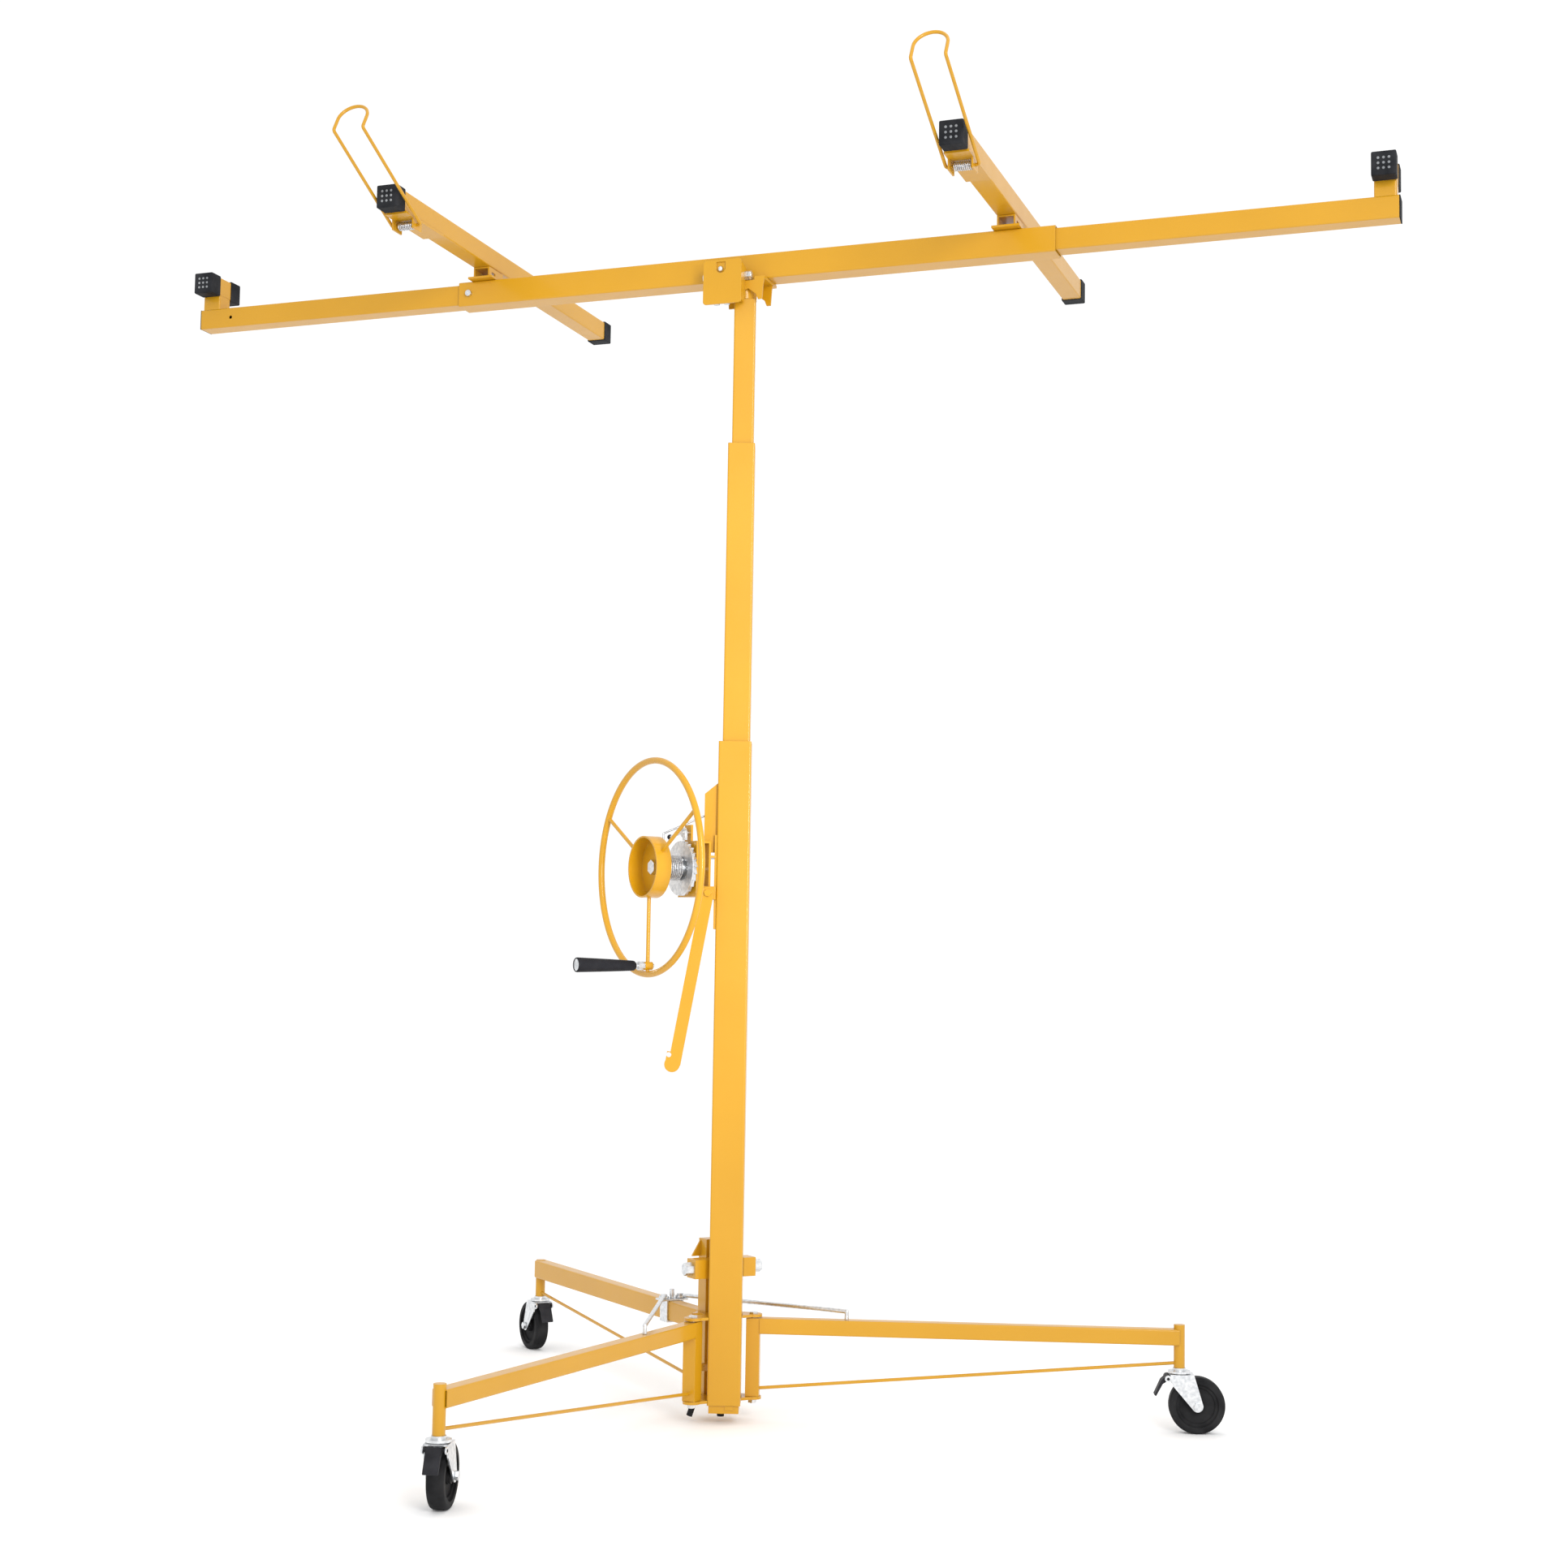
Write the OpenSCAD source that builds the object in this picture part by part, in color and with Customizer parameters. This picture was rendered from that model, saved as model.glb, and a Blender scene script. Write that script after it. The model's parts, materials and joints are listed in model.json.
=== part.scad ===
// Drywall lift: a folding tripod on three casters, a three-section mast raised by a
// hand-wheel winch, and a tilting cradle whose two cross arms carry the board.
// X runs along the main beam, +Z is up, and the origin is on the floor under the
// centre of the whole lift.

/* [Mast] */
// Width of the outer mast tube
mast_outer_w = 60; // [56:1:64]
// Width of the middle mast tube
mast_middle_w = 50; // [46:1:50]
// Width of the inner mast tube
mast_inner_w = 40; // [36:1:40]
// Wall of each mast tube
mast_wall = 2.5; // [2:0.25:2.5]
// Height of the top of the outer tube above the floor
outer_top = 1233; // [1200:1:1260]
// Height of the top of the middle tube as it stands
middle_top = 1791; // [1700:1:1850]
// Height of the top of the inner tube as it stands
inner_top = 2066; // [2060:1:2070]
// Length of the middle and of the inner tube
section_len = 1180; // [1000:10:1180]

/* [Tripod] */
// Turn of the mast and tripod under the cradle, about the mast axis
base_turn = 19; // [0:1:30]
// Angle of the fixed leg, from the mast's right-hand side
fixed_leg_angle = 120; // [110:1:130]
// Half of the spread between the folding legs, from the tripod's centre line
leg_spread = 56.5; // [50:0.5:65]
// Distance from a leg hinge to its caster
leg_len = 769; // [700:1:850]
// Distance from the hinge line to the caster of the fixed leg
fixed_leg_len = 836; // [760:1:900]
// Half of the distance between the two leg hinges
hinge_half = 62; // [60:1:70]
// Height of a leg tube
leg_tube = 28; // [25:1:30]
// Height of the top of the leg tubes above the floor
leg_top = 183; // [180:1:190]

/* [Casters] */
// Diameter of a caster wheel
wheel_d = 100; // [80:1:110]
// Width of a caster tyre
wheel_w = 28; // [24:1:32]
// Distance of the wheel's axle behind its swivel
caster_trail = 31; // [25:1:36]

/* [Winch] */
// Height of the winch shaft above the floor
winch_z = 998; // [980:1:1010]
// Outer diameter of the hand wheel
hand_wheel_d = 400; // [340:5:420]
// Angle of the winch shaft, from the mast's right-hand side
winch_angle = 212; // [205:1:218]

/* [Cradle] */
// Length of the main beam
beam_len = 1196; // [1150:2:1200]
// Height and width of the main beam
beam_w = 48; // [46:1:50]
// Height of the underside of the main beam
beam_z = 2106; // [2104:1:2110]
// Height and width of an outrigger tube
outrigger_w = 40; // [36:1:40]
// Length of the whole cradle over its outriggers
cradle_len = 2392; // [2300:2:2400]
// Height and width of a cross arm
arm_w = 38; // [34:1:38]
// Left cross arm, from the middle of the beam
arm_left = 544; // [500:1:552]
// Right cross arm, from the middle of the beam
arm_right = 510; // [480:1:552]
// Reach of a cross arm on the hook side, from the beam's centre line
arm_near = 407; // [380:1:430]
// Reach of a cross arm on the far side, from the beam's centre line
arm_far = 539; // [500:1:560]
// Diameter of the wire of a panel hook
hook_wire = 6; // [5:0.5:7]

/* [Hidden] */
$fn = 64;
clear = 0.3;                       // gap between parts that move past each other
mast_y = 125.85;                      // mast axis, so that the origin is under the middle
beam_y = mast_y + 18;              // centre line of the main beam
mast_foot_z = 34;                  // lower end of the outer tube
hinge_angle = fixed_leg_angle - 90;
hub_top = leg_top + 2;             // underside of the upper hub plate
hub_low = 43;                      // top of the lower hub plate
plate_t = 5;
post_w = 25;                       // square hinge post of a folding leg
socket_d = 20;                     // round tube that takes a caster stem
socket_z = 115;
socket_top = 191;
axle_z = wheel_d / 2;
outer_bore = mast_outer_w - 2 * mast_wall;
middle_bore = mast_middle_w - 2 * mast_wall;
middle_x = (outer_bore - mast_middle_w) / 2 - 0.5;   // the sections nest to one side
inner_x = middle_x + (middle_bore - mast_inner_w) / 2 - 0.5;
slider_at = 210;                   // fold slider, from the hinge line
link_at = 170;                     // link pivot on a leg, from its hinge
arm_gap = 24;                      // height of the arm pivots on the beam
arm_z = beam_z + beam_w + arm_gap; // underside of the cross arms
cap_w = arm_w + 4;
cap_len = 33.5;
rest_x = cradle_len / 2 - 6 - arm_w / 2;             // end rests of the outriggers
rest_len = 105;
pivot_y = mast_y - 24;             // tilt bolt
pivot_z = beam_z + 2;
hook_y = beam_y - 330;             // hook pivots
hook_z = arm_z - 13;
hook_half = 29;                    // half of the width of a hook, wire centre
saddle_z = beam_z - 0.5;
wheel_r = hand_wheel_d / 2 - 6;
knuckle = 0.3;                     // bends of bent wire are this much thicker
hub_off = 4;                       // the mast stands this far from the hub's middle
pin_d = 10;                        // leg hinge bolts
lug_d = 32;
post_back = 15;                    // half width of the hub post
post_d = 30;
post_y = 73;                       // rear face of the hub post
yoke_z = 256;
yoke_h = 34;
yoke_x = [-54, 70];                 // ends of the yoke
yoke_bolt_y = 24;
fixed_h = 36;                      // height of the fixed leg's tube
fixed_top = 190;
socket_bore = 16;
link_z = 194;                      // underside of the links
link_w = 19;                       // eye of a link
link_d = 8;
slider_pin_x = 17;
lever_x = -37;
lever_z = 96;
lever_y = 8;                       // release lever, beside the mast
lever_slot = [-36, 33];
left_caster_turn = 201;            // the left caster trails back towards the hub
winch_x = -150;                    // centre of the hand wheel, from the mast axis
winch_y = -60;
swivel_d = 10;                     // caster swivel pin
pedal_pivot = [-21, 97];
shaft_d = 16;
cup_d = 112;
crank_r = 179;
pawl_z = 66;
pawl_rod = [[69, 4, pawl_z], [69, 49.3, pawl_z - 6]];
pawl_rod_d = 5;
bracket_low = 52;                  // bracket plates below the shaft
guide_z = winch_z + 108;           // where the cable enters the mast
cable_d = 3.5;
cable_y = 12;
wrap_d = 46;                       // cable wound on the drum
wrap_x = 41;
bar_pivot = [-44, -50, winch_z - 45];
bar_lean = 10;
bar_w = 22;
bar_len = 316;                     // pivot to the centre of the hooked end
king = [inner_x * cos(base_turn), mast_y + inner_x * sin(base_turn)];
king_d = 24;
cheek_y = 25;                      // outer faces of the saddle's cheeks
lug_r = 8.5;                       // tilt lugs of the beam
box_x = -64;                       // tilt box
box_w = 76;
box_z = beam_z - 54;
box_h = 84;
turn_room = 3;                     // clears the inner mast as the head turns
latch_x = -29;
latch_z = beam_z + 12;
lock_x = beam_len / 2 - 23;
reach_in = beam_len / 2 - 150;     // inner end of an outrigger

yellow = [0.93, 0.66, 0.16];
zinc = [0.78, 0.79, 0.80];
black = [0.08, 0.08, 0.09];

// ---- shared shapes ----

// Rectangle with round corners, centred
module round_rect(w, h, r) {
  square([w - 2 * r, h], center = true);
  square([w, h - 2 * r], center = true);
  for (sx = [-1, 1], sy = [-1, 1])
    translate([sx * (w / 2 - r), sy * (h / 2 - r)])
      circle(r);
}

// Square or rectangular tube that rises from z = 0
module tube(w, h, len, wall, r = 3) {
  linear_extrude(len)
    difference() {
      round_rect(w, h, r);
      square([w - 2 * wall, h - 2 * wall], center = true);
    }
}

// The same tube laid along +X, h upright
module tube_x(w, h, len, wall) {
  rotate([90, 0, 90])
    tube(w, h, len, wall);
}

// The same tube laid along +Y, h upright
module tube_y(w, h, len, wall) {
  translate([0, len, 0])
    rotate([90, 0, 0])
      tube(w, h, len, wall);
}

// Plain round rod between two points
module rod(a, b, d) {
  v = b - a;
  translate(a)
    rotate([0, acos(v.z / norm(v)), atan2(v.y, v.x)])
      cylinder(d = d, h = norm(v));
}

// Bent rod through a list of points
module bent_rod(pts, d) {
  for (i = [0 : len(pts) - 2])
    rod(pts[i], pts[i + 1], d);
  for (i = [1 : len(pts) - 2])
    translate(pts[i])
      sphere(d = d + knuckle);
}

// Distance of a cross arm from the middle of the beam. side -1 is left, 1 is right.
function arm_at(side) = side < 0 ? -arm_left : arm_right;

// Mast and tripod frame: origin on the floor under the mast axis
module in_base() {
  translate([0, mast_y, 0])
    rotate([0, 0, base_turn])
      children();
}

// Hub frame: X along the line of the two leg hinges, Y along the fixed leg
module in_hub() {
  in_base()
    rotate([0, 0, hinge_angle])
      translate([-hub_off, 0, 0])
        children();
}

// Frame of a folding leg: hinge at the origin, X along the leg. side 1 is right, -1 is left.
module in_leg(side) {
  in_hub()
    translate([side * hinge_half, 0, 0])
      rotate([0, 0, -90 + side * leg_spread])
        children();
}

// Caster frame: swivel at the origin, X towards the axle
module in_caster(name) {
  if (name == "rear")
    in_hub() translate([0, fixed_leg_len, 0]) rotate([0, 0, 90]) children();
  if (name == "right")
    in_leg(1) translate([leg_len, 0, 0]) children();
  if (name == "left")
    in_leg(-1) translate([leg_len, 0, 0]) rotate([0, 0, left_caster_turn]) children();
}

// Winch frame: X along the shaft towards the mast, origin at the centre of the hand wheel
module in_winch() {
  in_base()
    translate([winch_x, winch_y, winch_z])
      rotate([0, 0, winch_angle - 180])
        children();
}

// Disc or shaft on the winch axis, from x0 to x1
module disc(x0, x1, d) {
  translate([x0, 0, 0])
    rotate([0, 90, 0])
      cylinder(d = d, h = x1 - x0);
}

// ---- tripod ----

module hub_plate(z) {
  translate([0, 0, z])
    linear_extrude(plate_t)
      difference() {
        union() {
          for (s = [-1, 1])
            translate([s * hinge_half, 0])
              circle(d = lug_d);
          polygon([[-hinge_half - 8, -12], [hinge_half + 8, -12], [hinge_half + 8, 12],
                   [post_back, post_y], [-post_back, post_y], [-hinge_half - 8, 12]]);
        }
        mast_hole();
        for (s = [-1, 1])
          translate([s * hinge_half, 0])
            circle(d = pin_d);
        translate([lever_slot.x, lever_slot.y])
          circle(d = 22);
      }
}

// Opening that the mast stands in, open towards the front
module mast_hole() {
  translate([hub_off, 0])
    rotate([0, 0, -hinge_angle])
      square(mast_outer_w + 1, center = true);
  translate([hub_off - 12, -60])
    square([24, 60]);
}

module tripod_hub() {
  color(yellow)
    in_hub() {
      difference() {
        union() {
          hub_plate(hub_low - plate_t);
          hub_plate(hub_top);
          translate([-post_back, post_y - post_d, hub_low - plate_t])
            cube([2 * post_back, post_d, yoke_z + yoke_h + 32 - hub_low + plate_t]);
        }
        translate([-post_back + 2.5, post_y - post_d + 2.5, hub_low + 4])
          cube([2 * post_back - 5, post_d - 5, yoke_z + yoke_h + 20 - hub_low]);
      }
      translate([-post_back, post_y - 8, yoke_z + yoke_h])
        rotate([90, 0, 180])
          linear_extrude(4)
            polygon([[0, 0], [18, 0], [0, 30]]);
    }
}

// Clamp that holds the mast against the hub post
module mast_yoke() {
  color(yellow)
    in_hub()
      difference() {
        translate([yoke_x[0], 10, yoke_z])
          cube([yoke_x[1] - yoke_x[0], post_y - post_d - 10, yoke_h]);
        translate([0, 0, yoke_z - 1])
          linear_extrude(yoke_h + 2)
            mast_hole();
        for (s = [[yoke_x[0] - 1, 1], [yoke_x[1] + 1, -1]])
          translate([s[0], yoke_bolt_y, yoke_z + yoke_h / 2])
            rotate([0, s[1] * 90, 0])
              cylinder(d = 16, h = 22);
      }
}

module tripod_bolts() {
  color(zinc)
    in_hub() {
      for (s = [-1, 1])
        translate([s * hinge_half, 0, 0]) {
          translate([0, 0, hub_low - plate_t - 8])
            cylinder(d = pin_d - 0.1, h = hub_top - hub_low + 2 * plate_t + 11);
          translate([0, 0, hub_top + plate_t])
            cylinder(d = 17, h = 3, $fn = 6);
          translate([0, 0, hub_low - plate_t - 7])
            cylinder(d = 17, h = 7, $fn = 6);
        }
      for (s = [[yoke_x[0], -1], [yoke_x[1], 1]])
        translate([s[0], yoke_bolt_y, yoke_z + yoke_h / 2])
          rotate([0, s[1] * 90, 0]) {
            cylinder(d = 24, h = 16, $fn = 6);
            translate([0, 0, -20])
              cylinder(d = 15.8, h = 20);
          }
    }
}

// Socket tube for a caster stem, with its brace rod down to the hub end of the leg
module leg_socket(brace_from) {
  difference() {
    union() {
      translate([0, 0, socket_z])
        cylinder(d = socket_d, h = socket_top - socket_z);
      rod([-socket_d / 2 + 2, 0, socket_z + 8], brace_from, 6);
    }
    translate([0, 0, socket_z - 1])
      cylinder(d = socket_bore, h = socket_top - socket_z - 2);
  }
}

module fixed_leg() {
  color(yellow)
    in_hub() {
      difference() {
        translate([0, post_y, fixed_top - fixed_h / 2])
          tube_y(leg_tube, fixed_h, fixed_leg_len - post_y, 2);
        translate([0, fixed_leg_len, 0])
          cylinder(d = socket_d, h = 300);
      }
      translate([0, fixed_leg_len, 0])
        rotate([0, 0, 90])
          leg_socket([post_y - fixed_leg_len, 0, 57]);
    }
}

module folding_leg(side) {
  color(yellow)
    in_leg(side) {
      difference() {
        union() {
          translate([-post_w / 2, -post_w / 2, hub_low + clear])
            cube([post_w, post_w, leg_top - hub_low - clear]);
          translate([post_w / 2 - 0.5, 0, leg_top - leg_tube / 2])
            tube_x(leg_tube, leg_tube, leg_len - post_w / 2, 2);
        }
        translate([-post_w / 2 + 2, -post_w / 2 + 2, hub_low + 14])
          cube([post_w - 4, post_w - 4, leg_top - hub_low - 28]);
        cylinder(d = pin_d + 0.1, h = 400);
        translate([leg_len, 0, 0])
          cylinder(d = socket_d, h = 300);
      }
      translate([leg_len, 0, 0])
        leg_socket([post_w / 2 - leg_len - 1, 0, 57]);
    }
}

module leg_right() { folding_leg(1); }
module leg_left() { folding_leg(-1); }

// Collar that slides on the fixed leg and spreads the folding legs
module fold_slider() {
  color(zinc)
    in_hub()
      translate([0, slider_at, 0]) {
        difference() {
          union() {
            translate([-17.3, -15, fixed_top - fixed_h - 3.3])
              cube([34.6, 30, fixed_h + 6.6]);
            translate([-27, -15, fixed_top + clear])
              cube([54, 30, 3]);
          }
          translate([-14.3, -16, fixed_top - fixed_h - clear])
            cube([28.6, 32, fixed_h + 2 * clear]);
          translate([0, 0, fixed_top])
            cylinder(d = 6.1, h = 10);
        }
        for (s = [-1, 1])
          translate([s * slider_pin_x, 0, fixed_top + 3]) {
            cylinder(d = 7.8, h = link_z - fixed_top + 1.5);
            translate([0, 0, link_z - fixed_top + 1.4])
              cylinder(d = 13, h = 3);
          }
      }
}

module slider_lock_pin() {
  color(zinc)
    in_hub()
      translate([0, slider_at, 0]) {
        translate([0, 0, fixed_top + 0.4])
          cylinder(d = 6, h = 8);
        translate([0, 0, link_z + 4.5])
          cylinder(d = 10, h = 12);
        translate([0, 0, fixed_top + 3.6])
          cylinder(d = 8, h = link_z - fixed_top + 1);
      }
}

// Rod link between the slider and a folding leg, drawn with the legs open: an eye on the
// slider's stud, and the far end turned down to the top of the leg
module link(side) {
  a = [side * slider_pin_x, slider_at];
  b = [side * (hinge_half + link_at * sin(leg_spread)), -link_at * cos(leg_spread)];
  v = b - a;
  color(zinc)
    in_hub()
      translate([a.x, a.y, link_z])
        rotate([0, 0, atan2(v.y, v.x)]) {
          difference() {
            cylinder(d = link_w, h = 4);
            translate([0, 0, -1])
              cylinder(d = 8, h = 6);
          }
          bent_rod([[link_w / 2 - 2, 0, link_d / 2], [norm(v), 0, link_d / 2],
                    [norm(v), 0, leg_top - link_z + 0.6]], link_d);
        }
}

module link_right() { link(1); }
module link_left() { link(-1); }

// Foot lever beside the mast, with a rubber tip
module release_lever() {
  color(yellow)
    in_base() {
      bent_rod([[lever_x, lever_y, lever_z], [-46, lever_y, 92], [-52, lever_y, 74],
                [-52, lever_y, 38], [-58, lever_y, 24]], 6);
      translate([lever_x, lever_y - 7.5, lever_z])
        rotate([-90, 0, 0])
          cylinder(d = 5, h = 15);
      translate([lever_x, lever_y - 3.8, lever_z])
        rotate([-90, 0, 0])
          cylinder(d = 9, h = 7.6);
    }
}

module release_lever_tip() {
  color(black)
    in_base()
      rod([-58, lever_y, 24], [-63, lever_y, 9], 11);
}

// ---- casters ----

module caster_stem(name) {
  color(zinc)
    in_caster(name) {
      translate([0, 0, 106])
        cylinder(d = 40, h = 4);
      translate([0, 0, 109])
        cylinder(d = 24, h = socket_z - 109);
      translate([0, 0, 113])
        cylinder(d = socket_bore - 0.2, h = 34);
      translate([0, 0, 105])
        cylinder(d = 30, h = 2);
      translate([0, 0, 97])
        cylinder(d = swivel_d, h = 9);
      translate([0, 0, 96.5])
        cylinder(d = 16, h = 4.4);
    }
}

module caster_fork(name) {
  cheek = wheel_w / 2 + 3;
  color(zinc)
    in_caster(name) {
      difference() {
        translate([-17, -cheek - 2.5, 101.5])
          cube([42, 2 * cheek + 5, 3]);
        translate([0, 0, 100])
          cylinder(d = swivel_d + 0.15, h = 6);
      }
      for (s = [-1, 1])
        translate([0, s * cheek + (s > 0 ? 2.5 : 0), 0])
          rotate([90, 0, 0])
            linear_extrude(2.5)
              difference() {
                union() {
                  polygon([[-17, 104.5], [25, 104.5], [caster_trail + 9.6, 53],
                           [caster_trail - 8, 44], [-12, 84], [-17, 96]]);
                  translate([caster_trail, axle_z])
                    circle(10);
                  translate(pedal_pivot)
                    circle(6);
                }
                translate([caster_trail, axle_z])
                  circle(d = 8);
                translate(pedal_pivot)
                  circle(d = 5.1);
              }
      translate([caster_trail, 0, axle_z])
        rotate([90, 0, 0]) {
          cylinder(d = 8, h = 2 * cheek + 16, center = true);
          for (s = [-1, 1])
            translate([0, 0, s * (cheek + 5.7)])
              cylinder(d = 15, h = 5, center = true, $fn = 6);
        }
    }
}

module caster_wheel(name) {
  color(black)
    in_caster(name)
      translate([caster_trail, 0, axle_z])
        rotate([90, 0, 0]) {
          rotate_extrude()
            difference() {
              translate([wheel_d / 4, 0])
                round_rect(wheel_d / 2, wheel_w, 5);
              translate([-1, -wheel_w])
                square([wheel_d / 2 - 11, 2 * wheel_w]);
            }
          difference() {
            union() {
              cylinder(d = wheel_d - 23, h = wheel_w - 8, center = true);
              cylinder(d = 24, h = wheel_w, center = true);
            }
            cylinder(d = 8.15, h = wheel_w + 10, center = true);
            for (z = [-wheel_w / 2, wheel_w / 2 - 7])
              translate([0, 0, z])
                difference() {
                  cylinder(d = wheel_d - 36, h = 7);
                  translate([0, 0, -1])
                    cylinder(d = 26, h = 9);
                }
          }
        }
}

// Brake pedal on the leading side of the fork
module caster_pedal(name) {
  color(black)
    in_caster(name) {
      translate([0, 12, 0])
        rotate([90, 0, 0])
          linear_extrude(24)
            polygon([pedal_pivot + [4, 3], pedal_pivot + [-2, 5], [-33, 93], [-45, 67], [-42, 65],
                     [-30, 87], pedal_pivot + [-1, -5], pedal_pivot + [4, -3]]);
      translate([pedal_pivot.x, 0, pedal_pivot.y])
        rotate([90, 0, 0])
          cylinder(d = 5, h = 40, center = true);
    }
}

module caster_stem_right() { caster_stem("right"); }
module caster_stem_left() { caster_stem("left"); }
module caster_stem_rear() { caster_stem("rear"); }
module caster_fork_right() { caster_fork("right"); }
module caster_fork_left() { caster_fork("left"); }
module caster_fork_rear() { caster_fork("rear"); }
module caster_wheel_right() { caster_wheel("right"); }
module caster_wheel_left() { caster_wheel("left"); }
module caster_wheel_rear() { caster_wheel("rear"); }
module caster_pedal_right() { caster_pedal("right"); }
module caster_pedal_left() { caster_pedal("left"); }
module caster_pedal_rear() { caster_pedal("rear"); }

// ---- mast ----

module mast_outer() {
  color(yellow)
    in_base()
      difference() {
        union() {
          translate([0, 0, mast_foot_z])
            tube(mast_outer_w, mast_outer_w, outer_top - mast_foot_z, mast_wall);
          for (y = [lever_y - 7.5, lever_y + 4.5])
            translate([-mast_outer_w / 2 - 12, y, lever_z - 6])
              cube([12.5, 3, 12]);
        }
        translate([-mast_outer_w / 2 - 1, -cable_y - 4, guide_z - 5])
          cube([mast_wall + 2, 8, 10]);
        translate([lever_x, lever_y - 10, lever_z])
          rotate([-90, 0, 0])
            cylinder(d = 5.1, h = 20);
      }
}

module mast_foot() {
  color(yellow)
    in_base() {
      translate([0, 0, 20])
        tube(outer_bore - 0.6, outer_bore - 0.6, 60, 3, 1);
      translate([-outer_bore / 2 + 3, -outer_bore / 2 + 3, 22])
        cube([outer_bore - 6, outer_bore - 6, 4]);
      translate([2, -outer_bore / 2 - 1, 26])
        cube([16, 4, 7.5]);
    }
}

module mast_foot_plug() {
  color(black)
    in_base()
      translate([-6, 0, 11])
        cylinder(d = 13, h = 11);
}

module mast_middle() {
  color(yellow)
    in_base()
      translate([middle_x, 0, middle_top - section_len])
        tube(mast_middle_w, mast_middle_w, section_len, mast_wall);
}

module mast_inner() {
  color(yellow)
    in_base()
      translate([inner_x, 0, 0]) {
        difference() {
          union() {
            translate([0, 0, inner_top - section_len])
              tube(mast_inner_w, mast_inner_w, section_len - 6, mast_wall);
            for (z = [inner_top - 6, inner_top - 80])
              translate([0, 0, z])
                linear_extrude(6)
                  round_rect(mast_inner_w, mast_inner_w, 3);
          }
          translate([0, 0, inner_top - 120])
            cylinder(d = king_d + 0.15, h = 140);
        }
      }
}

// ---- winch ----

module winch_bracket() {
  color(yellow) {
    in_winch() {
      difference() {
        union() {
          for (x = [78, 104])
            translate([x, -34, -bracket_low])
              cube([4, 68, bracket_low + 50]);
          translate([78, -12, 40])
            cube([4, 24, 40]);
          for (z = [46, -bracket_low])
            translate([78, -34, z])
              cube([30, 68, 4]);
        }
        disc(70, 112, shaft_d);
        translate([0, 0, pawl_z])
          disc(70, 99, 8.1);
      }
    }
    in_base() {
      for (z = [winch_z + 20, winch_z - bracket_low + 8])
        translate([0, 0, z])
          linear_extrude(4)
            polygon([[-80, 24], [-44, -33.5], [-30, -28], [-30, 28]]);
      translate([-34, -28, winch_z - 110])
        cube([4, 56, 172]);
      translate([0, -16, 0])
        rotate([90, 0, 0])
          linear_extrude(4)
            polygon([[-30, winch_z + 30], [-54, winch_z + 30], [-54, winch_z + 138],
                     [-30, winch_z + 158]]);
      translate([-54, bar_pivot.y + 0.5, bar_pivot.z - 12])
        difference() {
          cube([24, 22, 24]);
          translate([54 + bar_pivot.x, -1, 12])
            rotate([-90, 0, 0])
              cylinder(d = 8.1, h = 30);
        }
    }
  }
}

// Hand wheel: ring, three spokes, cup and the boss of the crank
module winch_wheel() {
  color(yellow)
    in_winch() {
      rotate([0, 90, 0])
        rotate_extrude()
          translate([wheel_r, 0])
            circle(6);
      difference() {
        for (a = [30, 150, 270])
          rotate([a, 0, 0])
            rod([0, cup_d / 2 - 1.5, 0], [0, wheel_r, 0], 7);
        translate([0, 0, -crank_r])
          disc(-10, 10, 8);
      }
      difference() {
        disc(-15, 15, cup_d);
        disc(-16, 12, cup_d - 6);
        disc(0, 20, shaft_d);
      }
      difference() {
        translate([0, 0, -crank_r])
          disc(-8, 8, 15);
        translate([0, 0, -crank_r])
          disc(-10, 10, 8);
      }
    }
}

// Ratchet teeth as a saw-tooth outline
function ratchet(n, r0, r1) =
  [for (i = [0 : n - 1], k = [0, 1])
    let (a = 360 / n * (i + 0.9 * k), r = k == 0 ? r0 : r1) [r * cos(a), r * sin(a)]];

module winch_drum() {
  color(zinc)
    in_winch()
      difference() {
        union() {
          disc(18, 72, 30);
          disc(18, 20, 70);
          disc(62, 65, 100);
          translate([66, 0, 0])
            rotate([0, 90, 0])
              linear_extrude(6)
                polygon(ratchet(24, 45, 50));
        }
        disc(10, 80, shaft_d);
        translate([0, 40, 26])
          disc(60, 66, 7);
      }
}

module winch_hardware() {
  color(zinc)
    in_winch() {
      disc(4, 112, shaft_d - 0.1);
      translate([2, 0, 0])
        rotate([0, 90, 0])
          cylinder(d = 27, h = 9.9, $fn = 6);
      translate([0, 0, -crank_r]) {
        disc(-138, 12, 7.9);
        translate([-21, 0, 0])
          rotate([0, 90, 0])
            cylinder(d = 16, h = 12.9, $fn = 6);
      }
    }
}

// Cable wound on the drum
module cable_wrap() {
  color(zinc)
    in_winch()
      difference() {
        disc(20.5, 61.5, wrap_d);
        disc(20, 62, 30);
      }
}

// Lower run of the cable: from the drum over the outer tube's pulley to the middle tube's foot
module lift_cable() {
  x = -mast_outer_w / 2 + mast_wall + 2.25;
  side = wrap_d / 2 + cable_d / 2 + 1;
  turn = winch_angle - 180;
  off = [winch_x + wrap_x * cos(turn) - side * sin(turn), winch_y + wrap_x * sin(turn) + side * cos(turn)];
  color(zinc)
    in_base() {
      bent_rod([[off.x, off.y, winch_z], [off.x, off.y, winch_z + 64],
                [x - 12, -cable_y, guide_z - 3], [x, -cable_y, guide_z],
                [x, -cable_y, outer_top - 30]], cable_d);
      translate([x, 0, outer_top - 30])
        rotate([0, -90, 180])
          rotate([0, 0, -90])
            rotate_extrude(angle = 180)
              translate([cable_y, 0])
                circle(d = cable_d);
      rod([x, cable_y, outer_top - 30], [x, cable_y, middle_top - section_len - 18], cable_d);
    }
}

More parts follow.
